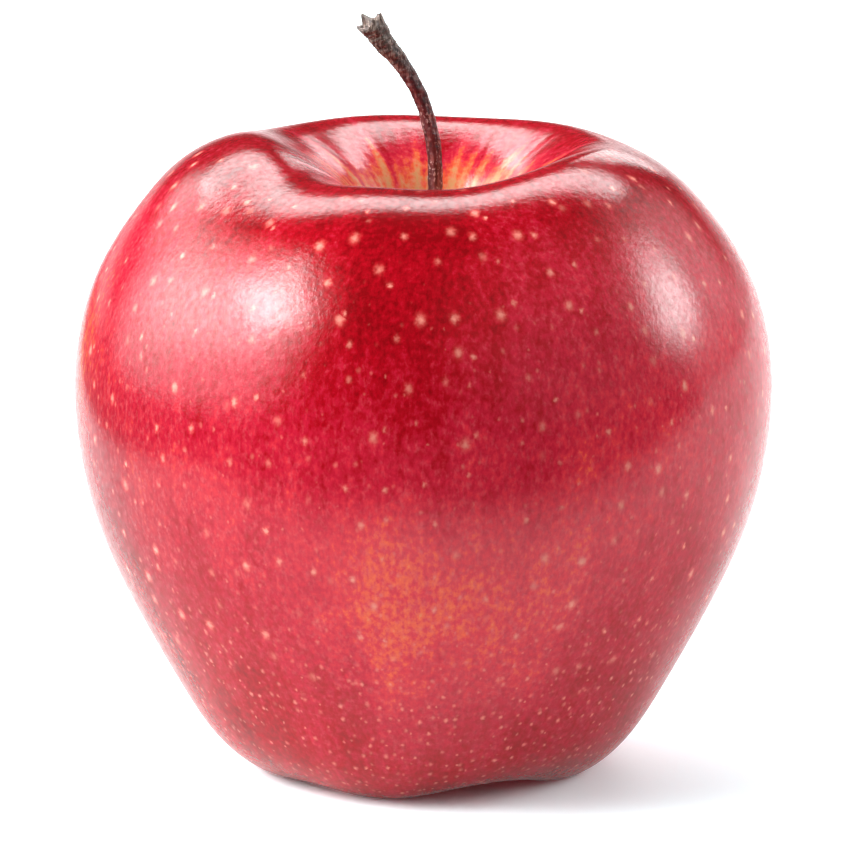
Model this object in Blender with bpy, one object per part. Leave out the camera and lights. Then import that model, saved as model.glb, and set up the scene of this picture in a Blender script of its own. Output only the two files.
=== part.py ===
"""Red apple, standing on the feet of its five lobes.

It has three pieces: the fruit, the stem in its cavity, and the dried calyx in the basin underneath.
The origin is on the ground under the middle of the fruit, with +Z up. Sizes below are in
millimetres. Azimuths are in degrees round the fruit, from the front (-Y) towards +X.
"""

import math

import bmesh
import bpy
import numpy as np
from mathutils import Matrix, Vector

MM = 0.001

# Half of the fruit's outline, as distance from its axis and height: from the floor of the stem
# cavity over the shoulder, the girth and the foot to the roof of the basin.
MERIDIAN = [
    (0.0, 56.6), (3.2, 57.8), (6.6, 62.2), (10.6, 67.56), (15.81, 70.67),
    (20.85, 71.81), (27.08, 69.5), (32.08, 65.05), (36.77, 58.36), (39.4, 50.5),
    (39.9, 41.6), (38.0, 31.0), (33.9, 21.0), (28.9, 12.0), (24.4, 5.6),
    (19.2, 2.1), (14.0, 1.6), (9.2, 4.0), (4.6, 7.4), (0.0, 8.8),
]

# Lobes, as azimuth, size and sharpness, where a sharper lobe is narrower: how far each shoulder
# stands above the meridian, or dips below it, how far each foot reaches below it, and how far each
# rib between them stands out.
SHOULDERS = [
    (-79, 2.42, 5.5), (-44, -1.44, 10.0), (6, -0.85, 10.8),
    (63, 1.41, 7.4), (135, 0.56, 9.0), (200, 0.57, 9.0),
]
FEET = [(-71, 1.7, 9), (-15, 1.9, 9), (72, 2.3, 9), (138, 1.8, 9), (212, 1.8, 9)]
RIBS = [(-71, 0.5, 6), (-15, 0.3, 6), (72, 0.6, 6), (138, 0.5, 6), (212, 0.5, 6)]

# Where along the meridian each kind of lobe acts, as places in the list above.
SHOULDER_PLACE = 5.0
FOOT_PLACE = 15.6
SHOULDER_SPREAD = 2.27
FOOT_SPREAD = 2.15
RIB_TOP_FADE = (5.0, 8.5)
RIB_FOOT_FADE = (14.0, 18.0)

# A high shoulder also swells outward by this share of its height.
SHOULDER_SWELL = 0.125
SHOULDER_SWELL_PLACE = 7.5
SWELL_SPREAD = 2.15

# The fruit leans a little to +X, and its stem cavity is off its axis that way.
LEAN = 0.005
LEAN_HEIGHT = 41.6
CAVITY_SHIFT = 1.15
CAVITY_FADE = (2.5, 6.0)

FRUIT_AROUND = 84
FRUIT_ALONG = 57

# Centre line of the stem, from just above the cavity floor to its woody end, as x, y and z from
# the fruit's axis, with the radius there.
STEM_LINE = [
    (1.34, 0.2, 57.12, 0.94), (1.4, 0.27, 62.0, 0.88), (1.43, 0.3, 67.0, 0.84),
    (1.2, 0.25, 72.2, 0.83), (0.4, 0.1, 76.1, 0.84), (-1.1, 0.0, 79.8, 0.86),
    (-2.9, 0.0, 82.5, 1.0), (-4.5, 0.0, 84.5, 1.22), (-5.6, 0.05, 86.1, 1.45),
]
STEM_AROUND = 16
STEM_ALONG = 40
STEM_RIDGES = 5
STEM_RIDGE_DEPTH = 0.05

# The flared end of the stem: how far its torn lip runs on past the line, and how deep it is hollow.
LIP_RADIUS = 1.65
LIP_RISE = 0.7
LIP_TEETH = [(-95, 0.5, 6), (-20, -0.2, 6), (75, 0.4, 6), (190, 0.9, 6)]
HOLLOW_RADIUS = 1.05
HOLLOW_DEPTH = 0.5

# The dried calyx: a short tube under the basin's roof, five sepals and what is left of the stamens.
# Each profile is a list of distance from the calyx's axis and height.
CALYX_AROUND = 20
CALYX_TUBE = [(2.0, 7.85), (2.9, 7.5), (3.3, 6.9), (3.2, 6.0), (2.4, 5.8), (1.7, 6.6)]
CALYX_ROOF = 8.1
CALYX_FLOOR = 6.7
SEPAL_COUNT = 5
SEPAL_LINE = [(1.3, 7.0), (3.0, 6.6), (4.4, 5.6), (4.9, 4.4), (4.5, 3.2), (5.0, 2.1)]
SEPAL_WIDTH = 4.2
SEPAL_THICKNESS = 0.64
SEPAL_CUP = 0.45
SEPAL_AROUND = 8
SEPAL_ALONG = 10
SEPAL_TURNS = (9, -13, 6, 15, -8)
STAMEN_COUNT = 7
STAMEN_LINE = [(0.9, 7.2), (1.15, 5.8), (0.9, 4.4)]
STAMEN_WIDTH = 0.7
STAMEN_THICKNESS = 0.6
STAMEN_AROUND = 5
STAMEN_ALONG = 4

SMOOTH_ANGLE = math.radians(40)


def control_values(values, across):
    """Control values of the cubic B-spline that passes through the given ones.

    Past both ends the curve goes on as its own mirror image, with its sign kept where across is 1
    and turned where it is -1.
    """
    count = len(values)
    matrix = 4 * np.eye(count) + np.eye(count, k=1) + np.eye(count, k=-1)
    matrix[0, 1] += across
    matrix[-1, -2] += across
    inner = np.linalg.solve(matrix / 6, values)
    return np.concatenate([across * inner[1:2], inner, across * inner[-2:-1]])


def along_spline(values, across, steps):
    """The smooth curve through the values, at steps + 1 even places."""
    values = np.asarray(values, float)
    controls = control_values(values, across)
    place = np.linspace(0, len(values) - 1, steps + 1)
    start = np.minimum(place.astype(int), len(values) - 2)
    u = (place - start).reshape(-1, *[1] * (values.ndim - 1))
    weights = [(1 - u) ** 3, 3 * u**3 - 6 * u**2 + 4, -3 * u**3 + 3 * u**2 + 3 * u + 1, u**3]
    return sum(weight * controls[start + k] for k, weight in enumerate(weights)) / 6


def along_line(points, steps):
    """The smooth curve through points with free ends, at steps + 1 even places."""
    points = np.asarray(points, float)
    first = 2 * points[0] - points[1]
    last = 2 * points[-1] - points[-2]
    points = np.concatenate([[first], points, [last]])
    place = np.linspace(0, len(points) - 3, steps + 1)
    start = np.minimum(place.astype(int), len(points) - 4)
    u = (place - start)[:, None]
    p0, p1, p2, p3 = (points[start + k] for k in range(4))
    slope = (p2 - p0) / 2
    end_slope = (p3 - p1) / 2
    rise = p2 - p1
    curve = (3 * rise - 2 * slope - end_slope) * u**2 + (slope + end_slope - 2 * rise) * u**3
    return p1 + slope * u + curve


def smooth_step(low, high, place):
    """0 below low, 1 above high, and a smooth rise between."""
    share = np.clip((place - low) / (high - low), 0, 1)
    return share * share * (3 - 2 * share)


def bumps(azimuth, lobes):
    """Sum of one smooth bump for each lobe, over the azimuths in radians."""
    return sum(
        size * np.exp(sharpness * (np.cos(azimuth - math.radians(centre)) - 1))
        for centre, size, sharpness in lobes
    )


def skin_rings(around, along):
    """Rings of the fruit's skin from the cavity's floor to the basin's roof, in millimetres."""
    azimuth = np.arange(around) * 2 * math.pi / around
    place = np.arange(len(MERIDIAN))[:, None]
    radius, height = np.array(MERIDIAN).T[:, :, None]
    shoulder = bumps(azimuth, SHOULDERS)
    foot = bumps(azimuth, FEET)
    rib = bumps(azimuth, RIBS)
    rib = rib - rib.mean()
    shoulder_share = np.exp(-(((place - SHOULDER_PLACE) / SHOULDER_SPREAD) ** 2))
    swell_share = np.exp(-(((place - SHOULDER_SWELL_PLACE) / SWELL_SPREAD) ** 2))
    foot_share = np.exp(-(((place - FOOT_PLACE) / FOOT_SPREAD) ** 2))
    rib_share = smooth_step(*RIB_TOP_FADE, place) * (1 - smooth_step(*RIB_FOOT_FADE, place))
    radius = radius + rib_share * rib + SHOULDER_SWELL * swell_share * shoulder
    radius[[0, -1]] = 0
    height = height + shoulder_share * shoulder - foot_share * foot
    height[[0, -1]] = height[[0, -1]].mean(axis=1, keepdims=True)
    shift = CAVITY_SHIFT * (1 - smooth_step(*CAVITY_FADE, place))
    radius = along_spline(radius, -1, along)
    height = along_spline(height, 1, along)
    shift = along_spline(shift, 1, along) + LEAN * (height - LEAN_HEIGHT)
    x = radius * np.sin(azimuth) + shift
    y = -radius * np.cos(azimuth)
    return np.stack([x, y, np.maximum(height, 0)], axis=-1)


def box_middle(rings):
    """Middle of the fruit's box in x and y, which the fruit and the stem are moved back by."""
    points = rings.reshape(-1, 3)
    middle = (points.min(axis=0) + points.max(axis=0)) / 2
    return middle * (1, 1, 0)


def closed_mesh(name, rings, first_end, last_end):
    """A closed mesh from rings of points in millimetres, drawn together to a point at both ends."""
    mesh = bmesh.new()
    rows = [[mesh.verts.new(point * MM) for point in ring] for ring in rings]
    for low, high in zip(rows, rows[1:]):
        for i, corner in enumerate(low):
            j = (i + 1) % len(low)
            mesh.faces.new((corner, low[j], high[j], high[i]))
    for end, row in ((first_end, rows[0]), (last_end, rows[-1])):
        pole = mesh.verts.new(end * MM)
        for i, corner in enumerate(row):
            mesh.faces.new((pole, corner, row[(i + 1) % len(row)]))
    bmesh.ops.recalc_face_normals(mesh, faces=mesh.faces)
    data = bpy.data.meshes.new(name)
    mesh.to_mesh(data)
    mesh.free()
    piece = bpy.data.objects.new(name, data)
    bpy.context.scene.collection.objects.link(piece)
    return piece


def finish(piece, colour, roughness):
    """Smooth shading and a material of the piece's own."""
    piece.data.shade_smooth()
    piece.data.set_sharp_from_angle(angle=SMOOTH_ANGLE)
    material = bpy.data.materials.new(piece.name)
    material.use_nodes = True
    shader = material.node_tree.nodes["Principled BSDF"]
    shader.inputs["Base Color"].default_value = (*colour, 1)
    shader.inputs["Roughness"].default_value = roughness
    shader.inputs["Metallic"].default_value = 0
    piece.data.materials.clear()
    piece.data.materials.append(material)


def unit(vectors):
    return vectors / np.linalg.norm(vectors, axis=-1, keepdims=True)


def axes_along(line):
    """Unit vectors at each point of a rising line: to its right, to its front and along it."""
    along = unit(np.gradient(line, axis=0))
    front = unit(np.cross((1, 0, 0), along))
    return np.cross(along, front), front, along


def make_fruit(rings):
    fruit = closed_mesh("fruit", rings[1:-1], rings[0, 0], rings[-1, 0])
    finish(fruit, (0.50, 0.02, 0.04), 0.25)


def make_stem(middle):
    """A tapering curved tube with shallow ridges, and a hollow, torn lip at its upper end."""
    line = along_line(STEM_LINE, STEM_ALONG)
    centre = line[:, :3] - middle
    right, front, along = axes_along(centre)
    angle = np.arange(STEM_AROUND) * 2 * math.pi / STEM_AROUND
    ridge = 1 + STEM_RIDGE_DEPTH * np.cos(STEM_RIDGES * angle)

    def ring(place, radius, rise=0.0):
        """One ring of the tube, with each of its points raised along the line."""
        to_right = np.outer(ridge * np.sin(angle), right[place])
        to_front = np.outer(ridge * np.cos(angle), front[place])
        risen = np.outer(rise * np.ones(STEM_AROUND), along[place])
        return centre[place] + radius * (to_right + to_front) + risen

    torn = LIP_RISE + bumps(angle, LIP_TEETH)
    rings = [ring(place, line[place, 3]) for place in range(STEM_ALONG + 1)]
    rings += [ring(-1, LIP_RADIUS, torn), ring(-1, HOLLOW_RADIUS, torn - HOLLOW_DEPTH / 2)]
    hollow = centre[-1] + (LIP_RISE - HOLLOW_DEPTH) * along[-1]
    finish(closed_mesh("stem", rings, centre[0], hollow), (0.13, 0.05, 0.035), 0.6)


def blade(name, profile, azimuth, width, thickness, cup, around, along):
    """A blade tapering to a point, cupped across, whose middle line lies over one azimuth."""
    line = along_line(profile, along)
    slope = unit(np.gradient(line, axis=0))
    share = np.linspace(0, 1, along + 1)
    half_width = width / 2 * (1 - share) ** 0.75 * (1 + share / 2)
    outward = np.array([math.sin(azimuth), -math.cos(azimuth), 0])
    sideways = np.array([math.cos(azimuth), math.sin(azimuth), 0])
    up = np.array([0, 0, 1])
    angle = np.arange(around)[:, None] * 2 * math.pi / around
    rings = []
    for (distance, height), (run, rise), side in zip(line, slope, half_width):
        normal = run * up - rise * outward
        off_side = side * np.cos(angle)
        off_face = thickness / 2 * np.sin(angle) - cup * (off_side / (width / 2)) ** 2
        rings.append(distance * outward + height * up + off_side * sideways + off_face * normal)
    first_end = line[0, 0] * outward + line[0, 1] * up
    last_end = line[-1, 0] * outward + line[-1, 1] * up
    return closed_mesh(name, rings[:-1], first_end, last_end)


def calyx_tube():
    """The short, thick-walled tube that carries the sepals, closed above by its own roof."""
    angle = np.arange(CALYX_AROUND) * 2 * math.pi / CALYX_AROUND
    circle = np.stack([np.sin(angle), -np.cos(angle), 0 * angle], axis=-1)
    rings = [radius * circle + (0, 0, height) for radius, height in CALYX_TUBE]
    return closed_mesh("calyx", rings, np.array([0, 0, CALYX_ROOF]), np.array([0, 0, CALYX_FLOOR]))


def make_calyx(axis):
    """The calyx tube, with its sepals and stamens joined to it, hanging on a vertical axis."""
    calyx = calyx_tube()
    grown = bpy.data.collections.new("sepals_and_stamens")
    for i, turn in enumerate(SEPAL_TURNS):
        azimuth = math.radians(360 * i / SEPAL_COUNT + turn)
        size = (SEPAL_WIDTH, SEPAL_THICKNESS, SEPAL_CUP, SEPAL_AROUND, SEPAL_ALONG)
        grown.objects.link(blade(f"sepal_{i}", SEPAL_LINE, azimuth, *size))
    for i in range(STAMEN_COUNT):
        azimuth = 2 * math.pi * i / STAMEN_COUNT
        size = (STAMEN_WIDTH, STAMEN_THICKNESS, 0, STAMEN_AROUND, STAMEN_ALONG)
        grown.objects.link(blade(f"stamen_{i}", STAMEN_LINE, azimuth, *size))
    union = calyx.modifiers.new("grown_together", "BOOLEAN")
    union.operation = "UNION"
    union.operand_type = "COLLECTION"
    union.collection = grown
    union.solver = "EXACT"
    graph = bpy.context.evaluated_depsgraph_get()
    joined = bpy.data.meshes.new_from_object(calyx.evaluated_get(graph))
    calyx.modifiers.clear()
    calyx.data = joined
    for piece in list(grown.objects):
        bpy.data.objects.remove(piece)
    bpy.data.collections.remove(grown)
    joined.transform(Matrix.Translation(MM * Vector(axis)))
    finish(calyx, (0.16, 0.10, 0.06), 0.8)


def clear_scene():
    for piece in list(bpy.data.objects):
        bpy.data.objects.remove(piece)


def main():
    clear_scene()
    rings = skin_rings(FRUIT_AROUND, FRUIT_ALONG)
    middle = box_middle(rings)
    rings = rings - middle
    basin_roof = rings[-1, 0]
    make_fruit(rings)
    make_stem(middle)
    make_calyx(basin_roof * (1, 1, 0))


main()
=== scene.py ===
"""Looks of the red apple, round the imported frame.

The fruit, the stem and the dried calyx are finer meshes by the same formulas as the CAD part's, and
each one replaces its CAD node. Skin, wood and dry sepals are procedural materials. Round the apple
stands a white studio: a pale floor, a softbox over and behind the fruit, others to both its sides,
and nothing bright on the camera's side. Sizes are in millimetres, and azimuths are in degrees round
the fruit, from the front (-Y) towards +X, unless a comment says otherwise.
"""

import math

import bmesh
import bpy
import numpy as np
from mathutils import Matrix, Quaternion, Vector


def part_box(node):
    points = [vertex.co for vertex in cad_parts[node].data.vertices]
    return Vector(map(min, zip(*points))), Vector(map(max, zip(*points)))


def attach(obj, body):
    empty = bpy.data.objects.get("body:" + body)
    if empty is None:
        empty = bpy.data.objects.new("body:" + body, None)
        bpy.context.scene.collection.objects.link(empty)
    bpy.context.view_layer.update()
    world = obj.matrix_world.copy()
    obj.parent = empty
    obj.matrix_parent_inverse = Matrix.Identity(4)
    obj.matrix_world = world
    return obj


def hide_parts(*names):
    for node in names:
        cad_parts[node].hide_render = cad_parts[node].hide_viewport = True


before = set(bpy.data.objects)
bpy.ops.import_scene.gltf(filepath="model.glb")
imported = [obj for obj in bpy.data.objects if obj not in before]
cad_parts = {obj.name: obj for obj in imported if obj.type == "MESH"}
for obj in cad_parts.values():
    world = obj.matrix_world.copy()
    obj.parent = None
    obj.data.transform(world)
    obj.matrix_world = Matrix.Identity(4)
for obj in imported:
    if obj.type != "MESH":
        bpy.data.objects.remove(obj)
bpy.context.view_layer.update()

MM = 0.001

# ---- Form of the fruit, the stem and the calyx, as in the CAD part ----

# Half of the fruit's outline, as distance from its axis and height, from the floor of the stem
# cavity to the roof of the basin.
MERIDIAN = [
    (0.0, 56.6), (3.2, 57.8), (6.6, 62.2), (10.6, 67.56), (15.81, 70.67),
    (20.85, 71.81), (27.08, 69.5), (32.08, 65.05), (36.77, 58.36), (39.4, 50.5),
    (39.9, 41.6), (38.0, 31.0), (33.9, 21.0), (28.9, 12.0), (24.4, 5.6),
    (19.2, 2.1), (14.0, 1.6), (9.2, 4.0), (4.6, 7.4), (0.0, 8.8),
]
# Lobes, as azimuth, size and sharpness.
SHOULDERS = [
    (-79, 2.42, 5.5), (-44, -1.44, 10.0), (6, -0.85, 10.8),
    (63, 1.41, 7.4), (135, 0.56, 9.0), (200, 0.57, 9.0),
]
FEET = [(-71, 1.7, 9), (-15, 1.9, 9), (72, 2.3, 9), (138, 1.8, 9), (212, 1.8, 9)]
RIBS = [(-71, 0.5, 6), (-15, 0.3, 6), (72, 0.6, 6), (138, 0.5, 6), (212, 0.5, 6)]
# Where along the meridian each kind of lobe acts, as places in the list above.
SHOULDER_PLACE = 5.0
FOOT_PLACE = 15.6
SHOULDER_SPREAD = 2.27
FOOT_SPREAD = 2.15
RIB_TOP_FADE = (5.0, 8.5)
RIB_FOOT_FADE = (14.0, 18.0)
SHOULDER_SWELL = 0.125
SHOULDER_SWELL_PLACE = 7.5
SWELL_SPREAD = 2.15
LEAN = 0.005
LEAN_HEIGHT = 41.6
CAVITY_SHIFT = 1.15
CAVITY_FADE = (2.5, 6.0)
# Steps round and along the fruit: in the CAD part, which its middle is measured on, and here.
CAD_AROUND = 84
CAD_ALONG = 57
SKIN_AROUND = 384
SKIN_ALONG = 256

# The stem's centre line, as x, y and z from the fruit's axis, with the radius there.
STEM_LINE = [
    (1.34, 0.2, 57.12, 0.94), (1.4, 0.27, 62.0, 0.88), (1.43, 0.3, 67.0, 0.84),
    (1.2, 0.25, 72.2, 0.83), (0.4, 0.1, 76.1, 0.84), (-1.1, 0.0, 79.8, 0.86),
    (-2.9, 0.0, 82.5, 1.0), (-4.5, 0.0, 84.5, 1.22), (-5.6, 0.05, 86.1, 1.45),
]
STEM_AROUND = 64
STEM_ALONG = 300
STEM_RIDGES = 5
STEM_RIDGE_DEPTH = 0.05
# Knots along the stem: how many waves of each kind along it, turns round it, height of each in
# shares of the radius.
STEM_KNOTS = [(5, 1, 0.035), (11, 2, 0.025), (23, 3, 0.018), (41, 1, 0.012), (67, 4, 0.010)]
# Its flared end, with a torn lip and a shallow hollow. The teeth are lobes too.
LIP_RADIUS = 1.65
LIP_RISE = 0.7
LIP_TEETH = [
    (-160, 0.5, 30), (-120, -0.3, 40), (-95, 0.6, 20), (-60, 0.2, 60), (-20, -0.3, 20),
    (15, 0.3, 50), (45, -0.2, 50), (75, 0.5, 20), (110, -0.3, 50), (140, 0.3, 60), (190, 0.9, 20),
]
HOLLOW_RADIUS = 1.05
HOLLOW_DEPTH = 0.5

# The calyx, in lists of distance from its axis and height: a short tube under the basin's roof,
# five sepals and what is left of the stamens.
CALYX_AROUND = 60
CALYX_TUBE = [(2.0, 7.85), (2.9, 7.5), (3.3, 6.9), (3.2, 6.0), (2.4, 5.8), (1.7, 6.6)]
CALYX_ROOF = 8.1
CALYX_FLOOR = 6.7
SEPAL_COUNT = 5
SEPAL_LINE = [(1.3, 7.0), (3.0, 6.6), (4.4, 5.6), (4.9, 4.4), (4.5, 3.2), (5.0, 2.1)]
SEPAL_WIDTH = 4.2
SEPAL_THICKNESS = 0.64
SEPAL_CUP = 0.45
SEPAL_AROUND = 24
SEPAL_ALONG = 40
SEPAL_TURNS = (9, -13, 6, 15, -8)
STAMEN_COUNT = 7
STAMEN_LINE = [(0.9, 7.2), (1.15, 5.8), (0.9, 4.4)]
STAMEN_WIDTH = 0.7
STAMEN_THICKNESS = 0.6
STAMEN_AROUND = 10
STAMEN_ALONG = 12
# Points of the joined calyx that are closer together than this, in metres, become one.
CALYX_WELD = 1e-6


def control_values(values, across):
    """Control values of the cubic B-spline that passes through the given ones.

    Past both ends the curve goes on as its own mirror image, with its sign kept where across is 1
    and turned where it is -1.
    """
    count = len(values)
    matrix = 4 * np.eye(count) + np.eye(count, k=1) + np.eye(count, k=-1)
    matrix[0, 1] += across
    matrix[-1, -2] += across
    inner = np.linalg.solve(matrix / 6, values)
    return np.concatenate([across * inner[1:2], inner, across * inner[-2:-1]])


def along_spline(values, across, steps):
    """The smooth curve through the values, at steps + 1 even places."""
    values = np.asarray(values, float)
    controls = control_values(values, across)
    place = np.linspace(0, len(values) - 1, steps + 1)
    start = np.minimum(place.astype(int), len(values) - 2)
    u = (place - start).reshape(-1, *[1] * (values.ndim - 1))
    weights = [(1 - u) ** 3, 3 * u**3 - 6 * u**2 + 4, -3 * u**3 + 3 * u**2 + 3 * u + 1, u**3]
    return sum(weight * controls[start + k] for k, weight in enumerate(weights)) / 6


def along_line(points, steps):
    """The smooth curve through points with free ends, at steps + 1 even places."""
    points = np.asarray(points, float)
    first = 2 * points[0] - points[1]
    last = 2 * points[-1] - points[-2]
    points = np.concatenate([[first], points, [last]])
    place = np.linspace(0, len(points) - 3, steps + 1)
    start = np.minimum(place.astype(int), len(points) - 4)
    u = (place - start)[:, None]
    p0, p1, p2, p3 = (points[start + k] for k in range(4))
    slope = (p2 - p0) / 2
    end_slope = (p3 - p1) / 2
    rise = p2 - p1
    curve = (3 * rise - 2 * slope - end_slope) * u**2 + (slope + end_slope - 2 * rise) * u**3
    return p1 + slope * u + curve


def smooth_step(low, high, place):
    """0 below low, 1 above high, and a smooth rise between."""
    share = np.clip((place - low) / (high - low), 0, 1)
    return share * share * (3 - 2 * share)


def bumps(azimuth, lobes):
    """Sum of one smooth bump for each lobe, over the azimuths in radians."""
    return sum(
        size * np.exp(sharpness * (np.cos(azimuth - math.radians(centre)) - 1))
        for centre, size, sharpness in lobes
    )


def skin_rings(around, along):
    """Rings of the fruit's skin from the cavity's floor to the basin's roof."""
    azimuth = np.arange(around) * 2 * math.pi / around
    place = np.arange(len(MERIDIAN))[:, None]
    radius, height = np.array(MERIDIAN).T[:, :, None]
    shoulder = bumps(azimuth, SHOULDERS)
    foot = bumps(azimuth, FEET)
    rib = bumps(azimuth, RIBS)
    rib = rib - rib.mean()
    shoulder_share = np.exp(-(((place - SHOULDER_PLACE) / SHOULDER_SPREAD) ** 2))
    swell_share = np.exp(-(((place - SHOULDER_SWELL_PLACE) / SWELL_SPREAD) ** 2))
    foot_share = np.exp(-(((place - FOOT_PLACE) / FOOT_SPREAD) ** 2))
    rib_share = smooth_step(*RIB_TOP_FADE, place) * (1 - smooth_step(*RIB_FOOT_FADE, place))
    radius = radius + rib_share * rib + SHOULDER_SWELL * swell_share * shoulder
    radius[[0, -1]] = 0
    height = height + shoulder_share * shoulder - foot_share * foot
    height[[0, -1]] = height[[0, -1]].mean(axis=1, keepdims=True)
    shift = CAVITY_SHIFT * (1 - smooth_step(*CAVITY_FADE, place))
    radius = along_spline(radius, -1, along)
    height = along_spline(height, 1, along)
    shift = along_spline(shift, 1, along) + LEAN * (height - LEAN_HEIGHT)
    x = radius * np.sin(azimuth) + shift
    y = -radius * np.cos(azimuth)
    return np.stack([x, y, np.maximum(height, 0)], axis=-1)


def box_middle(rings):
    """Middle of the fruit's box in x and y, which the fruit and the stem are moved back by."""
    points = rings.reshape(-1, 3)
    middle = (points.min(axis=0) + points.max(axis=0)) / 2
    return middle * (1, 1, 0)


def unit(vectors):
    return vectors / np.linalg.norm(vectors, axis=-1, keepdims=True)


def axes_along(line):
    """Unit vectors at each point of a rising line: to its right, to its front and along it."""
    along = unit(np.gradient(line, axis=0))
    front = unit(np.cross((1, 0, 0), along))
    return np.cross(along, front), front, along


# ---- Meshes ----


def tube_faces(rings, around):
    """Faces of a closed tube: a fan, the quads between rings, and a fan. The poles come last."""
    column = np.arange(around)
    beside = (column + 1) % around
    first_pole = rings * around
    quads = []
    for ring in range(rings - 1):
        low = ring * around
        high = low + around
        quads.append(np.stack([low + column, high + column, high + beside, low + beside], axis=1))
    last = (rings - 1) * around
    first_fan = np.stack([np.full(around, first_pole), column, beside], axis=1)
    last_fan = np.stack([np.full(around, first_pole + 1), last + beside, last + column], axis=1)
    return first_fan, np.concatenate(quads), last_fan


def volume_inside(data):
    """The volume that a closed mesh holds, negative where its faces point in."""
    mesh = bmesh.new()
    mesh.from_mesh(data)
    volume = mesh.calc_volume(signed=True)
    mesh.free()
    return volume


def clean(data, distance):
    """Joins points that are closer than the distance, in metres, and cuts up many-sided faces."""
    mesh = bmesh.new()
    mesh.from_mesh(data)
    bmesh.ops.remove_doubles(mesh, verts=mesh.verts, dist=distance)
    bmesh.ops.dissolve_degenerate(mesh, edges=mesh.edges, dist=distance)
    many_sided = [face for face in mesh.faces if len(face.verts) > 4]
    bmesh.ops.triangulate(mesh, faces=many_sided, ngon_method="BEAUTY")
    mesh.to_mesh(data)
    mesh.free()


def closed_tube(name, rings, first_end, last_end):
    """A closed mesh from rings of points, drawn together to a point at both ends.

    Its faces point out, whichever way its rings run.
    """
    count, around, _ = rings.shape
    points = np.concatenate([rings.reshape(-1, 3), [first_end, last_end]]) * MM
    faces = [face for part in tube_faces(count, around) for face in part.tolist()]
    data = bpy.data.meshes.new(name)
    data.from_pydata(points.tolist(), [], faces)
    if volume_inside(data) < 0:
        data.flip_normals()
    data.shade_smooth()
    piece = bpy.data.objects.new(name, data)
    bpy.context.scene.collection.objects.link(piece)
    return piece


def add_values(piece, name, values):
    """Keeps one number or vector for each point of the mesh, for its material to read."""
    values = np.asarray(values, np.float32)
    vector = values.ndim == 2
    kept = piece.data.attributes.new(name, "FLOAT_VECTOR" if vector else "FLOAT", "POINT")
    kept.data.foreach_set("vector" if vector else "value", values.ravel())


def stand_for(piece, node):
    """The piece stands for the node, and keeps inside the node's own box."""
    low, high = np.array(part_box(node)) - np.array(piece.location)
    points = np.empty(3 * len(piece.data.vertices))
    piece.data.vertices.foreach_get("co", points)
    points = np.clip(points.reshape(-1, 3), low, high)
    piece.data.vertices.foreach_set("co", points.ravel())
    piece.data.update()
    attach(piece, "root")
    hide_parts(node)


# ---- Nodes ----


class Graph:
    """Builds a node tree. A value is a number, a colour, a vector or the output of another node."""

    def __init__(self, tree):
        self.tree = tree
        tree.nodes.clear()

    def add(self, kind, inputs=(), **settings):
        node = self.tree.nodes.new("ShaderNode" + kind)
        for name, value in settings.items():
            setattr(node, name, value)
        for socket, value in dict(inputs).items():
            self.put(node.inputs[socket], value)
        return node

    def put(self, socket, value):
        if isinstance(value, bpy.types.NodeSocket):
            self.tree.links.new(value, socket)
        else:
            socket.default_value = value

    def math(self, operation, *values):
        return self.add("Math", dict(enumerate(values)), operation=operation).outputs[0]

    def vector(self, operation, first, second=None):
        node = self.add("VectorMath", {0: first}, operation=operation)
        if second is not None:
            self.put(node.inputs[1], second)
        return node.outputs["Value" if operation in ("DOT_PRODUCT", "LENGTH") else "Vector"]

    def scaled(self, vector, factor):
        node = self.add("VectorMath", {"Vector": vector, "Scale": factor}, operation="SCALE")
        return node.outputs["Vector"]

    def step(self, value, low, high, to_low=0.0, to_high=1.0):
        """A smooth rise from to_low, where value is low, to to_high, where it is high."""
        return self.range(value, low, high, to_low, to_high, interpolation_type="SMOOTHSTEP")

    def range(self, value, low, high, to_low=0.0, to_high=1.0, **settings):
        """A straight rise from to_low, where value is low, to to_high, where it is high."""
        places = {"From Min": low, "From Max": high, "To Min": to_low, "To Max": to_high}
        return self.add("MapRange", {"Value": value, **places}, **settings).outputs["Result"]

    def mix(self, share, low, high):
        node = self.add("Mix", data_type="RGBA")
        self.put(node.inputs["Factor"], share)
        self.put(node.inputs["A"], low)
        self.put(node.inputs["B"], high)
        return node.outputs["Result"]

    def noise(self, vector, stretch, scale, detail, roughness):
        """The outputs of a noise, whose vector is stretched first unless stretch is None."""
        if stretch:
            vector = self.vector("MULTIPLY", vector, stretch)
        inputs = {"Vector": vector, "Scale": scale, "Detail": detail, "Roughness": roughness}
        return self.add("TexNoise", inputs).outputs

    def height(self, position):
        """Height in millimetres of a position in metres."""
        parts = self.add("SeparateXYZ", {0: position}).outputs
        return self.math("MULTIPLY", parts["Z"], 1 / MM)

    def attribute(self, name, output):
        return self.add("Attribute", attribute_name=name).outputs[output]

    def ramp(self, share, stops):
        node = self.add("ValToRGB", {"Fac": share})
        elements = node.color_ramp.elements
        while len(elements) < len(stops):
            elements.new(1.0)
        for element, (place, colour) in zip(elements, stops):
            element.position = place
            element.color = (*colour, 1)
        return node.outputs["Color"]


def new_material(name):
    material = bpy.data.materials.new(name)
    material.use_nodes = True
    return material, Graph(material.node_tree)


def sum_of(graph, values):
    total = values[0]
    for value in values[1:]:
        total = graph.math("ADD", total, value)
    return total


# ---- Skin ----

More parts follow.
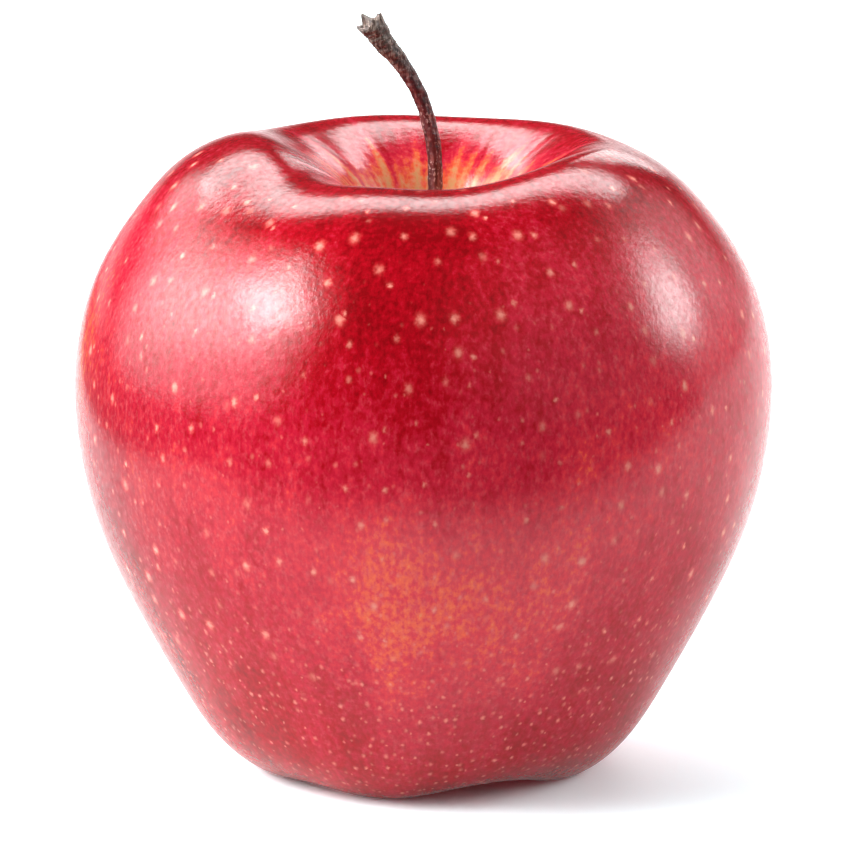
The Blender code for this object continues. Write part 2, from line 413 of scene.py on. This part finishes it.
# Layers of noise on the skin: how each is stretched, its scale, its detail and its roughness. The
# first two run along the meridians and are read by direction and millimetres, the others by metres.
STREAKS = ((34, 34, 0.12), 1.0, 3.0, 0.6)
BANDS = ((5, 5, 0.03), 1.0, 2.0, 0.5)
CLOUDS = (None, 160, 2.0, 0.5)
GRAIN = ((1, 1, 0.7), 1500, 3.0, 0.6)
FLECKS = ((1, 1, 0.6), 1900, 2.0, 0.6)
BLOOM = ((1, 1, 0.7), 1700, 2.0, 0.6)
RELIEF = (None, 1600, 3.0, 0.65)
# How much each of the first four deepens and thins the blush.
STREAKS_DEPTH = 0.13
BANDS_DEPTH = 0.16
CLOUDS_DEPTH = 0.12
GRAIN_DEPTH = 0.30
# Pinkish flecks: the noise between which they come in, the most that they cover, the depth of
# blush that has none and the depth that has them all, and their colour.
FLECK_NOISE = (0.46, 0.76)
FLECK_SHARE = 0.17
FLECK_DEPTHS = (0.86, 0.64)
FLECK_COLOUR = (0.82, 0.22, 0.23)
# The bloom on the wax: the noise between which the clear coat goes from thin to full.
BLOOM_NOISE = (0.32, 0.68)
COAT_WEIGHTS = (0.64, 1.02)
# The skin's colour by the depth of its blush.
SKIN_COLOURS = [
    (0.00, (0.54, 0.44, 0.17)),
    (0.20, (0.78, 0.33, 0.14)),
    (0.38, (0.90, 0.130, 0.050)),
    (0.52, (0.75, 0.030, 0.052)),
    (0.68, (0.58, 0.010, 0.037)),
    (0.84, (0.43, 0.001, 0.009)),
    (1.00, (0.25, 0.000, 0.003)),
]


def skin_material():
    material, graph = new_material("skin")
    position = graph.add("TexCoord").outputs["Object"]
    round_place = graph.attribute("round_place", "Vector")
    depth = graph.attribute("blush", "Fac")
    layers = [
        (round_place, STREAKS, STREAKS_DEPTH), (round_place, BANDS, BANDS_DEPTH),
        (position, CLOUDS, CLOUDS_DEPTH), (position, GRAIN, GRAIN_DEPTH),
    ]
    for vector, layer, amount in layers:
        value = graph.range(graph.noise(vector, *layer)["Fac"], 0, 1, -amount, amount)
        depth = graph.math("ADD", depth, value)
    # The colour is scaled by the skin's own tone, and by painted shade in the cavity and on its sides.
    colour = graph.scaled(graph.ramp(depth, SKIN_COLOURS), graph.attribute("tone_and_painted_shade", "Fac"))
    flecks = graph.step(graph.noise(position, *FLECKS)["Fac"], *FLECK_NOISE, 0, FLECK_SHARE)
    flecks = graph.math("MULTIPLY", flecks, graph.step(depth, *FLECK_DEPTHS))
    colour = graph.mix(flecks, colour, (*FLECK_COLOUR, 1))
    colour = lenticels(graph, colour, position)
    relief = graph.noise(position, *RELIEF)["Fac"]
    bump = graph.add("Bump", {"Height": relief, "Strength": 0.45, "Distance": 0.00006})
    bloom = graph.noise(position, *BLOOM)["Fac"]
    shader = graph.add("BsdfPrincipled", {
        "Base Color": colour,
        "Roughness": 0.45,
        "Specular IOR Level": 0.0,
        "Coat Weight": graph.range(bloom, *BLOOM_NOISE, *COAT_WEIGHTS),
        "Coat Roughness": 0.14,
        "Coat IOR": 1.5,
        "Normal": bump.outputs["Normal"],
        "Coat Normal": bump.outputs["Normal"],
    })
    graph.add("OutputMaterial", {"Surface": shader.outputs["BSDF"]})
    return material


# Lenticels, in layers: how many round the fruit, millimetres along the meridian to each, radius of
# the pale core, radius of the halo, the heights where they start and where all are there, the
# share of the weakest and the strongest.
LENTICELS = [
    (104, 2.6, 0.16, 0.42, 70.0, 48.0, -0.45, 0.42),
    (128, 1.9, 0.17, 0.40, 32.0, 14.0, -0.15, 0.70),
    (50, 4.9, 0.29, 0.95, 12.0, 24.0, 0.15, 1.00),
]
LENTICEL_CORE = (0.86, 0.33, 0.25)
LENTICEL_HALO = (0.80, 0.10, 0.09)
LENTICEL_HALO_SHARE = 0.75
# A core fades out over this many times its radius, with this power.
LENTICEL_CORE_REACH = 2.4
LENTICEL_CORE_POWER = 1.5
# Distance along the meridian from the cavity's floor where they begin.
LENTICEL_TOP = (25.0, 32.0)
# How far from the middle of its cell one may lie, how large the smallest and the largest are, how
# they are squeezed round the fruit and along it, and how ragged, in core radii.
LENTICEL_RANDOMNESS = 0.95
LENTICEL_SIZES = (0.55, 1.25)
LENTICEL_SQUEEZE = (1.12, 0.85, 0)
LENTICEL_RAGGED = 2.6
LENTICEL_EDGES = (None, 1800, 2.0, 0.6)
# They fade out at the seam of the UV map behind, over these shares of a cell.
LENTICEL_SEAM = (0.3, 1.0)


def lenticels(graph, colour, position):
    """The colour with lenticels, which are cells of the UV map: turns round it by millimetres."""
    place = graph.add("UVMap", uv_map="skin").outputs["UV"]
    flat = graph.vector("MULTIPLY", position, (1 / MM, 1 / MM, 0))
    girth = graph.math("MULTIPLY", graph.vector("LENGTH", flat), 2 * math.pi)
    height = graph.height(position)
    parts = graph.add("SeparateXYZ", {0: place}).outputs
    outside = graph.step(parts["Y"], *LENTICEL_TOP)
    from_middle = graph.math("ABSOLUTE", graph.math("SUBTRACT", parts["X"], 0.5))
    from_seam = graph.math("SUBTRACT", 0.5, from_middle)
    seam_start, seam_end = LENTICEL_SEAM
    wobble = graph.vector("SUBTRACT", graph.noise(position, *LENTICEL_EDGES)["Color"], (0.5, 0.5, 0.5))
    for around, pitch, core, halo, start, full, weakest, strongest in LENTICELS:
        cell = graph.vector("MULTIPLY", place, (around, 1 / pitch, 0))
        cells = {"Vector": cell, "Scale": 1.0, "Randomness": LENTICEL_RANDOMNESS}
        spots = graph.add("TexVoronoi", cells, voronoi_dimensions="2D").outputs
        off = graph.vector("SUBTRACT", cell, spots["Position"])
        size = graph.add("CombineXYZ", {"X": graph.math("DIVIDE", girth, around), "Y": pitch})
        off = graph.vector("MULTIPLY", off, size.outputs["Vector"])
        off = graph.vector("ADD", off, graph.scaled(wobble, LENTICEL_RAGGED * core))
        off = graph.vector("MULTIPLY", off, LENTICEL_SQUEEZE)
        luck = graph.add("SeparateColor", {"Color": spots["Color"]}).outputs
        scale = graph.range(luck["Red"], 0, 1, *LENTICEL_SIZES)
        distance = graph.math("DIVIDE", graph.vector("LENGTH", off), scale)
        shown = graph.math("MULTIPLY", graph.step(height, start, full), outside)
        by_seam = graph.step(from_seam, seam_start / around, seam_end / around)
        shown = graph.math("MULTIPLY", shown, by_seam)
        strength = graph.math("MAXIMUM", graph.range(luck["Green"], 0, 1, weakest, strongest), 0)
        shown = graph.math("MULTIPLY", shown, strength)
        halo_share = graph.step(distance, halo, 0, 0, LENTICEL_HALO_SHARE)
        halo_share = graph.math("MULTIPLY", halo_share, shown)
        core_share = graph.step(distance, core * LENTICEL_CORE_REACH, 0)
        core_share = graph.math("POWER", core_share, LENTICEL_CORE_POWER)
        core_share = graph.math("MULTIPLY", core_share, shown)
        colour = graph.mix(halo_share, colour, (*LENTICEL_HALO, 1))
        colour = graph.mix(core_share, colour, (*LENTICEL_CORE, 1))
    return colour


# Where the blush is thin or deep, as azimuth, height, width round the fruit and height of the
# patch, and how much it adds.
BLUSH = 0.70
BLUSH_PATCHES = [
    (-5, 29, 23, 18, -0.28),
    (-78, 52, 18, 18, -0.22),
    (-48, 38, 20, 12, -0.10),
    (-4, 54, 18, 22, 0.19),
    (36, 40, 26, 24, -0.06),
    (-56, 14, 40, 22, 0.12),
    (70, 14, 50, 20, 0.03),
    (0, 2, 400, 12, 0.10),
    (0, 76, 400, 14, 0.20),
]
# Where the skin is darker or brighter than the ramp of colours has it, in the same way: partly its
# own tone and partly painted shade. The first two darken its left and right sides, where the lamps
# light it strongly, and are mostly painted shade.
BRIGHTNESS = 1.03
TONE_AND_PAINTED_SHADE_PATCHES = [
    (-76, 37, 40, 27, -0.62),
    (74, 22, 34, 24, -0.34),
    (15, 42, 24, 14, 0.10),
    (18, 6, 42, 20, -0.16),
    (0, 75, 400, 6, -0.52),
]
# How far the bottom of the cavity is greenish, and how far its wall is darkened with painted shade, as
# places on the meridian, with the share of the blush and of the colour that stay there.
CAVITY_GREEN_PLACES = (1.9, 4.5)
CAVITY_GREEN_SHARE = 0.20
CAVITY_PAINTED_SHADE_PLACES = (4.0, 7.0)
CAVITY_PAINTED_SHADE_SHARE = 0.70
# The red runs down into the greenish bottom in flames: how many of each kind round it, and how
# far they reach, in places on the meridian.
FLAME_COUNTS = (13, 23, 34, 47)
FLAME_REACH = 0.9


def patched(points, base, patches):
    """The base value at each point, with smooth patches added to it."""
    azimuth = np.degrees(np.arctan2(points[:, 0], -points[:, 1]))
    values = np.full(len(points), base)
    for centre, height, width, tall, amount in patches:
        turn = (azimuth - centre + 180) % 360 - 180
        values += amount * np.exp(-((turn / width) ** 2) - ((points[:, 2] - height) / tall) ** 2)
    return values


def blush_of(points, place):
    """How deep the blush is at each point, given the points' places on the meridian."""
    azimuth = np.arctan2(points[:, 0], -points[:, 1])
    flames = sum(np.cos(count * azimuth + count ** 2) for count in FLAME_COUNTS) / len(FLAME_COUNTS)
    red = smooth_step(*CAVITY_GREEN_PLACES, place + FLAME_REACH * flames)
    share = CAVITY_GREEN_SHARE + (1 - CAVITY_GREEN_SHARE) * red
    return patched(points, BLUSH, BLUSH_PATCHES) * share


def tone_and_painted_shade_of(points, place):
    """How bright the colour is at each point, given the points' places on the meridian: painted shade
    in the cavity and on the sides, and the skin's own tone.
    """
    # Inside the cavity the colour is darkened as painted shade.
    outside = smooth_step(*CAVITY_PAINTED_SHADE_PLACES, place)
    bright = patched(points, BRIGHTNESS, TONE_AND_PAINTED_SHADE_PATCHES)
    return CAVITY_PAINTED_SHADE_SHARE * (1 - outside) + outside * bright


# Fine ridges that run down the cavity's wall: how many round it, their depth in millimetres, how
# far each drifts in radians a millimetre, and where they start and stop along the meridian.
RIDGE_COUNTS = (19, 31, 44, 58, 71)
RIDGE_DEPTH = 0.007
RIDGE_DRIFT = 0.10
RIDGE_START = (2.0, 6.0)
RIDGE_STOP = (24.0, 36.0)
RIDGE_SHARE_OUTSIDE = 0.12
RIDGE_SEED = 5


def ridged(rings, azimuth, arc):
    """The rings with fine ridges pressed into them."""
    chance = np.random.default_rng(RIDGE_SEED)
    relief = np.zeros(rings.shape[:2])
    for count in RIDGE_COUNTS:
        phase = chance.uniform(0, 2 * math.pi)
        drift = chance.normal(0, RIDGE_DRIFT)
        relief += np.cos(count * azimuth + phase + drift * arc[:, None]) / len(RIDGE_COUNTS)
    fade = (1 - RIDGE_SHARE_OUTSIDE) * smooth_step(*RIDGE_STOP, arc)
    share = smooth_step(*RIDGE_START, arc) * (1 - fade)
    depth = 2 * RIDGE_DEPTH * share[:, None] * (1 - relief)
    across = np.roll(rings, -1, axis=1) - np.roll(rings, 1, axis=1)
    inner = slice(1, -1)
    outward = unit(np.cross(np.gradient(rings, axis=0), across)[inner])
    result = rings.copy()
    result[inner] -= depth[inner, :, None] * outward
    return result


def uv_ring(*corners):
    """UVs of one ring of faces, from the turn and the millimetres of each of a face's corners."""
    columns = [np.stack([turn, np.full_like(turn, along)], axis=1) for turn, along in corners]
    return np.stack(columns, axis=1).reshape(-1, 2)


def skin_uvs(arc):
    """UVs of the skin's faces: turns round it, from its seam behind, by millimetres."""
    turn = (np.arange(SKIN_AROUND) / SKIN_AROUND + 0.5) % 1.0
    after = turn + 1 / SKIN_AROUND
    middle_turn = (turn + after) / 2
    rows = arc[1:-1]
    uvs = [uv_ring((middle_turn, 0), (turn, rows[0]), (after, rows[0]))]
    for low, high in zip(rows, rows[1:]):
        uvs.append(uv_ring((turn, low), (turn, high), (after, high), (after, low)))
    uvs.append(uv_ring((middle_turn, arc[-1]), (after, rows[-1]), (turn, rows[-1])))
    return np.concatenate(uvs)


def make_fruit(middle):
    rings = skin_rings(SKIN_AROUND, SKIN_ALONG) - middle
    azimuth = np.arange(SKIN_AROUND) * 2 * math.pi / SKIN_AROUND
    steps = np.linalg.norm(np.diff(rings, axis=0), axis=-1).mean(axis=1)
    arc = np.concatenate([[0], np.cumsum(steps)])
    rings = ridged(rings, azimuth, arc)
    inner = slice(1, -1)
    fruit = closed_tube("apple_skin", rings[inner], rings[0, 0], rings[-1, 0])
    direction = np.stack([np.sin(azimuth), -np.cos(azimuth), 0 * azimuth], axis=1)
    round_place = direction[None] + arc[inner, None, None] * (0, 0, 1)
    ends = [(0, 0, arc[0]), (0, 0, arc[-1])]
    add_values(fruit, "round_place", np.concatenate([round_place.reshape(-1, 3), ends]))
    points = np.concatenate([rings[inner].reshape(-1, 3), [rings[0, 0], rings[-1, 0]]])
    place = np.linspace(0, len(MERIDIAN) - 1, SKIN_ALONG + 1)
    places = np.concatenate([np.repeat(place[inner], SKIN_AROUND), [0, place[-1]]])
    add_values(fruit, "blush", blush_of(points, places))
    # The skin's own tone, with painted shade in the cavity and on its sides.
    add_values(fruit, "tone_and_painted_shade", tone_and_painted_shade_of(points, places))
    layer = fruit.data.uv_layers.new(name="skin")
    layer.data.foreach_set("uv", skin_uvs(arc).astype(np.float32).ravel())
    fruit.data.materials.append(skin_material())
    stand_for(fruit, "fruit")
    return rings


# ---- Stem ----

# The stem's noises: fibres along it, pale spots, and the patches that the spots gather in.
STEM_FIBRE = ((1, 1, 0.2), 2600, 4.0, 0.6)
STEM_SPOTS = ((1, 1, 0.6), 3600, 2.0, 0.6)
STEM_PATCHES = (None, 420, 2.0, 0.5)
# Its colours along the fibres, low down and at its woody end, and the heights between which one
# turns into the other.
STEM_COLOURS = [
    (0.30, (0.018, 0.004, 0.005)), (0.50, (0.085, 0.012, 0.015)), (0.70, (0.22, 0.060, 0.055)),
]
STEM_END_COLOURS = [
    (0.30, (0.022, 0.012, 0.010)), (0.52, (0.10, 0.060, 0.045)), (0.68, (0.46, 0.36, 0.29)),
]
STEM_WOODY_HEIGHTS = (79.0, 85.0)
# The spots: the noise between which they come in, the same for their patches, how pale they are
# outside and inside a patch, their colour, and how much they stand out.
STEM_SPOT_NOISE = (0.53, 0.66)
STEM_PATCH_NOISE = (0.40, 0.60)
STEM_SPOT_SHARES = (0.15, 0.75)
STEM_SPOT_COLOUR = (0.52, 0.36, 0.33)
STEM_SPOT_RELIEF = 0.5


def stem_material():
    material, graph = new_material("stem_wood")
    position = graph.add("TexCoord").outputs["Object"]
    fibre = graph.noise(position, *STEM_FIBRE)["Fac"]
    spots = graph.noise(position, *STEM_SPOTS)["Fac"]
    patches = graph.noise(position, *STEM_PATCHES)["Fac"]
    woody = graph.step(graph.height(position), *STEM_WOODY_HEIGHTS)
    bark, end_wood = graph.ramp(fibre, STEM_COLOURS), graph.ramp(fibre, STEM_END_COLOURS)
    colour = graph.mix(woody, bark, end_wood)
    in_patch = graph.step(patches, *STEM_PATCH_NOISE, *STEM_SPOT_SHARES)
    pale = graph.math("MULTIPLY", graph.step(spots, *STEM_SPOT_NOISE), in_patch)
    colour = graph.mix(pale, colour, (*STEM_SPOT_COLOUR, 1))
    relief = graph.math("ADD", fibre, graph.math("MULTIPLY", spots, STEM_SPOT_RELIEF))
    bump = graph.add("Bump", {"Height": relief, "Strength": 0.8, "Distance": 0.00014})
    shader = graph.add("BsdfPrincipled", {
        "Base Color": colour, "Roughness": 0.42, "Normal": bump.outputs["Normal"],
    })
    graph.add("OutputMaterial", {"Surface": shader.outputs["BSDF"]})
    return material


def make_stem(middle):
    line = along_line(STEM_LINE, STEM_ALONG)
    centre = line[:, :3] - middle
    right, front, along = axes_along(centre)
    angle = np.arange(STEM_AROUND) * 2 * math.pi / STEM_AROUND
    ridge = 1 + STEM_RIDGE_DEPTH * np.cos(STEM_RIDGES * angle)

    def ring(place, radius, rise=0.0):
        """One ring of the tube, with each of its points raised along the line."""
        along_share = (place % (STEM_ALONG + 1)) / STEM_ALONG
        knots = sum(
            height * np.cos(turns * angle + 2 * math.pi * waves * along_share + waves ** 2)
            for waves, turns, height in STEM_KNOTS
        )
        reach = ridge + knots
        to_right = np.outer(reach * np.sin(angle), right[place])
        to_front = np.outer(reach * np.cos(angle), front[place])
        risen = np.outer(rise * np.ones(STEM_AROUND), along[place])
        return centre[place] + radius * (to_right + to_front) + risen

    torn = LIP_RISE + bumps(angle, LIP_TEETH)
    rings = [ring(place, line[place, 3]) for place in range(STEM_ALONG + 1)]
    rings += [ring(-1, LIP_RADIUS, torn), ring(-1, HOLLOW_RADIUS, torn - HOLLOW_DEPTH / 2)]
    hollow = centre[-1] + (LIP_RISE - HOLLOW_DEPTH) * along[-1]
    stem = closed_tube("apple_stem", np.array(rings), centre[0], hollow)
    stem.data.materials.append(stem_material())
    stand_for(stem, "stem")


# ---- Calyx ----

CALYX_FIBRE = (None, 3500, 4.0, 0.6)
CALYX_COLOURS = [
    (0.3, (0.05, 0.03, 0.02)), (0.55, (0.17, 0.11, 0.07)), (0.75, (0.34, 0.28, 0.20)),
]


def calyx_material():
    material, graph = new_material("dried_calyx")
    position = graph.add("TexCoord").outputs["Object"]
    fibre = graph.noise(position, *CALYX_FIBRE)["Fac"]
    bump = graph.add("Bump", {"Height": fibre, "Strength": 0.6, "Distance": 0.0001})
    shader = graph.add("BsdfPrincipled", {
        "Base Color": graph.ramp(fibre, CALYX_COLOURS),
        "Roughness": 0.8,
        "Normal": bump.outputs["Normal"],
    })
    graph.add("OutputMaterial", {"Surface": shader.outputs["BSDF"]})
    return material


def blade(name, profile, azimuth, width, thickness, cup, around, along):
    """A blade tapering to a point, cupped across, whose middle line lies over one azimuth."""
    line = along_line(profile, along)
    slope = unit(np.gradient(line, axis=0))
    share = np.linspace(0, 1, along + 1)
    half_width = width / 2 * (1 - share) ** 0.75 * (1 + share / 2)
    outward = np.array([math.sin(azimuth), -math.cos(azimuth), 0])
    sideways = np.array([math.cos(azimuth), math.sin(azimuth), 0])
    up = np.array([0, 0, 1])
    angle = np.arange(around)[:, None] * 2 * math.pi / around
    rings = []
    for (distance, height), (run, rise), side in zip(line, slope, half_width):
        normal = run * up - rise * outward
        off_side = side * np.cos(angle)
        off_face = thickness / 2 * np.sin(angle) - cup * (off_side / (width / 2)) ** 2
        rings.append(distance * outward + height * up + off_side * sideways + off_face * normal)
    first_end = line[0, 0] * outward + line[0, 1] * up
    last_end = line[-1, 0] * outward + line[-1, 1] * up
    return closed_tube(name, np.array(rings[:-1]), first_end, last_end)


def calyx_tube():
    """The short, thick-walled tube that carries the sepals, closed above by its own roof."""
    angle = np.arange(CALYX_AROUND) * 2 * math.pi / CALYX_AROUND
    circle = np.stack([np.sin(angle), -np.cos(angle), 0 * angle], axis=-1)
    rings = [radius * circle + (0, 0, height) for radius, height in CALYX_TUBE]
    return closed_tube("apple_calyx", np.array(rings), (0, 0, CALYX_ROOF), (0, 0, CALYX_FLOOR))


def make_calyx(axis):
    """The calyx tube, with its sepals and stamens joined to it, hanging on a vertical axis."""
    calyx = calyx_tube()
    blades = []
    for i, turn in enumerate(SEPAL_TURNS):
        azimuth = math.radians(360 * i / SEPAL_COUNT + turn)
        size = (SEPAL_WIDTH, SEPAL_THICKNESS, SEPAL_CUP, SEPAL_AROUND, SEPAL_ALONG)
        blades.append(blade(f"sepal_{i}", SEPAL_LINE, azimuth, *size))
    for i in range(STAMEN_COUNT):
        azimuth = 2 * math.pi * i / STAMEN_COUNT
        size = (STAMEN_WIDTH, STAMEN_THICKNESS, 0, STAMEN_AROUND, STAMEN_ALONG)
        blades.append(blade(f"stamen_{i}", STAMEN_LINE, azimuth, *size))
    grown = bpy.data.collections.new("sepals_and_stamens")
    for piece in blades:
        bpy.context.scene.collection.objects.unlink(piece)
        grown.objects.link(piece)
    union = calyx.modifiers.new("grown_together", "BOOLEAN")
    union.operation = "UNION"
    union.operand_type = "COLLECTION"
    union.collection = grown
    union.solver = "EXACT"
    graph = bpy.context.evaluated_depsgraph_get()
    joined = bpy.data.meshes.new_from_object(calyx.evaluated_get(graph))
    calyx.modifiers.clear()
    calyx.data = joined
    for piece in blades:
        bpy.data.objects.remove(piece)
    bpy.data.collections.remove(grown)
    clean(joined, CALYX_WELD)
    joined.transform(Matrix.Translation(MM * Vector(axis)))
    joined.materials.clear()
    joined.materials.append(calyx_material())
    stand_for(calyx, "calyx")


# ---- Studio ----

CAMERA_ELEVATION = 12.5
CAMERA_DISTANCE = 0.9
CAMERA_TARGET = (0.000173, 0.0, 0.0397)
CAMERA_LENS = 330.7
CAMERA_SENSOR = 36.0

# Softboxes, far off round the apple: azimuth, elevation and roll in degrees, half the width and
# height as shares of the distance, how square it is, how far its edge fades, and its radiance.
SOFTBOXES = {
    "left": (-87, 35.5, -21, 0.45, 0.30, 3.0, 0.78, 7.0),
    "left_heart": (-71.5, 46, 30, 0.20, 0.14, 6.0, 0.62, 15.0),
    "left_low": (-87.5, 22, -10, 0.74, 0.41, 3.1, 0.40, 3.3),
    "left_glow": (-137, 34, 20, 0.15, 0.24, 2.5, 0.60, 3.8),
    "right": (101.5, 24, 35, 0.14, 0.20, 3.0, 0.90, 12.0),
    "right_glow": (115, 24, -18, 0.40, 0.37, 4.0, 0.90, 1.9),
    "fill": (62, 30, 0, 0.80, 0.80, 2.5, 0.60, 0.28),
}
# The overhead softbox, in the plane over the apple: its middle, half sizes, how square it is, how
# far its edge fades, and its radiance.
OVERHEAD = ((-0.06, 0.875), (0.80, 0.255), 6.0, 0.12, 7.4)
# A direction that goes less than this towards a softbox's plane misses it.
AHEAD_LEAST = 0.01
# The room: its own radiance, and how much the backdrop adds. The backdrop begins between these
# shares of the way round to straight behind, and ends between these heights of a direction.
ROOM_RADIANCE = 0.08
BACKDROP_RADIANCE = 0.75
BACKDROP_BEHIND = (0.60, 0.80)
BACKDROP_HEIGHTS = (0.14, 0.04)
# The table glows faintly through the sheet, so that the underside isn't black: the radiance
# below it, the heights of a direction where it sets in, and the share that comes through.
TABLE_GLOW = 1.4
TABLE_HEIGHTS = (-0.02, -0.10)
TABLE_SHARE = 0.07
WORLD_MAP_SIZE = 1024

# A bright card high behind the apple on its right: its place, size in metres and radiance.
CARD_PLACE = (0.058, 0.22, 0.142)
CARD_SIZE = (0.055, 0.10)
CARD_RADIANCE = 2.8

# The white sheet that the apple stands on ends a little in front of it, along an edge that curves
# back on both sides, and the dark studio begins there. The camera sees white there all the same.
FLOOR_SIZE = 3.0
SHEET_FRONT = (-0.15, -0.07)
SHEET_CURVE = 0.3
SHEET_LEFT = (-0.19, -0.14)
SHEET_COLOUR = (0.74, 0.74, 0.74)
STUDIO_COLOUR = (0.02, 0.02, 0.02)
FLOOR_AS_SEEN = (1.10, 1.31, 1.35)


def soft_shape(graph, across, up, half_width, half_height, squareness, fade):
    """1 inside a box or an ellipse in a plane, and 0 outside it."""
    terms = [
        graph.math("POWER", graph.math("ABSOLUTE", graph.math("DIVIDE", off, half)), squareness)
        for off, half in ((across, half_width), (up, half_height))
    ]
    distance = graph.math("POWER", graph.math("ADD", *terms), 1 / squareness)
    return graph.step(distance, 1 + fade, 1 - fade)


def softbox(graph, direction, azimuth, elevation, roll, *shape_and_radiance):
    """Light from one of the softboxes round the apple, for a direction to look in."""
    *shape, radiance = shape_and_radiance
    turn, tilt = math.radians(azimuth), math.radians(elevation)
    flat = math.cos(tilt)
    axis = Vector((math.sin(turn) * flat, -math.cos(turn) * flat, math.sin(tilt)))
    right = Vector((math.cos(turn), math.sin(turn), 0))
    right.rotate(Quaternion(axis, -math.radians(roll)))
    ahead = graph.vector("DOT_PRODUCT", direction, tuple(axis))
    safe = graph.math("MAXIMUM", ahead, AHEAD_LEAST)
    to_right = graph.vector("DOT_PRODUCT", direction, tuple(right))
    to_top = graph.vector("DOT_PRODUCT", direction, tuple(right.cross(axis)))
    across = graph.math("DIVIDE", to_right, safe)
    up = graph.math("DIVIDE", to_top, safe)
    return graph.math("MULTIPLY", soft_shape(graph, across, up, *shape), radiance)


def overhead(graph, direction):
    """Light from the overhead softbox, for a direction to look in."""
    (x, y), halves, squareness, fade, radiance = OVERHEAD
    parts = graph.add("SeparateXYZ", {0: direction}).outputs
    safe = graph.math("MAXIMUM", parts["Z"], AHEAD_LEAST)
    across = graph.math("SUBTRACT", graph.math("DIVIDE", parts["X"], safe), x)
    back = graph.math("SUBTRACT", graph.math("DIVIDE", parts["Y"], safe), y)
    shape = soft_shape(graph, across, back, *halves, squareness, fade)
    return graph.math("MULTIPLY", shape, radiance)


def backdrop(graph, direction):
    """White low down behind the apple, dark on the camera's side, and the glow from below."""
    parts = graph.add("SeparateXYZ", {0: direction}).outputs
    squares = [graph.math("MULTIPLY", parts[axis], parts[axis]) for axis in "XY"]
    level = graph.math("SQRT", graph.math("ADD", *squares))
    behind = graph.math("DIVIDE", parts["Y"], graph.math("MAXIMUM", level, 0.001))
    behind = graph.step(behind, *BACKDROP_BEHIND)
    low = graph.step(parts["Z"], *BACKDROP_HEIGHTS)
    white = graph.math("MULTIPLY", behind, low)
    around = graph.math("MULTIPLY_ADD", white, BACKDROP_RADIANCE, ROOM_RADIANCE)
    return graph.math("ADD", around, graph.step(parts["Z"], *TABLE_HEIGHTS, 0, TABLE_GLOW))


def make_world():
    """The lights as the apple gets them, and plain white where the camera sees past it."""
    world = bpy.data.worlds.new("studio")
    world.use_nodes = True
    graph = Graph(world.node_tree)
    direction = graph.add("TexCoord").outputs["Generated"]
    lights = [softbox(graph, direction, *box) for box in SOFTBOXES.values()]
    lights += [overhead(graph, direction), backdrop(graph, direction)]
    white = {"Color": (1, 1, 1, 1)}
    lit = graph.add("Background", {**white, "Strength": sum_of(graph, lights)})
    seen = graph.add("Background", {**white, "Strength": 1.0})
    by_camera = graph.add("LightPath").outputs["Is Camera Ray"]
    mix = graph.add("MixShader", {0: by_camera, 1: lit.outputs[0], 2: seen.outputs[0]})
    graph.add("OutputWorld", {"Surface": mix.outputs[0]})
    world.cycles.sampling_method = "MANUAL"
    world.cycles.sample_map_resolution = WORLD_MAP_SIZE
    bpy.context.scene.world = world


def make_card():
    data = bpy.data.lights.new("card_behind", "AREA")
    data.shape = "RECTANGLE"
    data.size, data.size_y = CARD_SIZE
    data.energy = CARD_RADIANCE * math.pi * CARD_SIZE[0] * CARD_SIZE[1]
    card = bpy.data.objects.new("card_behind", data)
    card.location = CARD_PLACE
    away = Vector(CARD_PLACE) - Vector(CAMERA_TARGET)
    card.rotation_euler = away.to_track_quat("Z", "Y").to_euler()
    card.visible_camera = False
    bpy.context.scene.collection.objects.link(card)


def floor_material():
    """White for the camera, and for the light a white sheet that ends in a dark studio.

    Seen from below it is clear, and a little of the table's glow comes up through it.
    """
    material, graph = new_material("white_floor")
    place = graph.add("NewGeometry").outputs
    parts = graph.add("SeparateXYZ", {0: place["Position"]}).outputs
    aside = graph.math("MULTIPLY", graph.math("ABSOLUTE", parts["X"]), SHEET_CURVE)
    front = graph.step(graph.math("SUBTRACT", parts["Y"], aside), *SHEET_FRONT)
    sheet = graph.math("MULTIPLY", front, graph.step(parts["X"], *SHEET_LEFT))
    by_camera = graph.add("LightPath").outputs["Is Camera Ray"]
    shade = graph.mix(sheet, (*STUDIO_COLOUR, 1), (*SHEET_COLOUR, 1))
    top = graph.add("BsdfDiffuse", {"Color": graph.mix(by_camera, shade, (*FLOOR_AS_SEEN, 1))})
    under = graph.add("BsdfTransparent")
    glow = graph.math("MULTIPLY", graph.math("SUBTRACT", 1.0, by_camera), TABLE_SHARE)
    clear = graph.math("MAXIMUM", place["Backfacing"], glow)
    mix = graph.add("MixShader", {0: clear, 1: top.outputs[0], 2: under.outputs[0]})
    graph.add("OutputMaterial", {"Surface": mix.outputs[0]})
    return material


def make_floor():
    half = FLOOR_SIZE / 2
    corners = [(-half, -half, 0), (half, -half, 0), (half, half, 0), (-half, half, 0)]
    data = bpy.data.meshes.new("floor")
    data.from_pydata(corners, [], [(0, 1, 2, 3)])
    data.materials.append(floor_material())
    floor = bpy.data.objects.new("floor", data)
    bpy.context.scene.collection.objects.link(floor)


def make_camera():
    tilt = math.radians(CAMERA_ELEVATION)
    back = Vector((0, -math.cos(tilt), math.sin(tilt)))
    data = bpy.data.cameras.new("camera")
    data.sensor_width = CAMERA_SENSOR
    data.lens = CAMERA_LENS
    camera = bpy.data.objects.new("camera", data)
    camera.location = Vector(CAMERA_TARGET) + CAMERA_DISTANCE * back
    camera.rotation_euler = (-back).to_track_quat("-Z", "Y").to_euler()
    bpy.context.scene.collection.objects.link(camera)
    bpy.context.scene.camera = camera


make_camera()
make_world()
make_floor()
make_card()
middle = box_middle(skin_rings(CAD_AROUND, CAD_ALONG))
skin = make_fruit(middle)
make_stem(middle)
make_calyx(skin[-1, 0] * (1, 1, 0))
bpy.context.scene.view_settings.view_transform = "Standard"
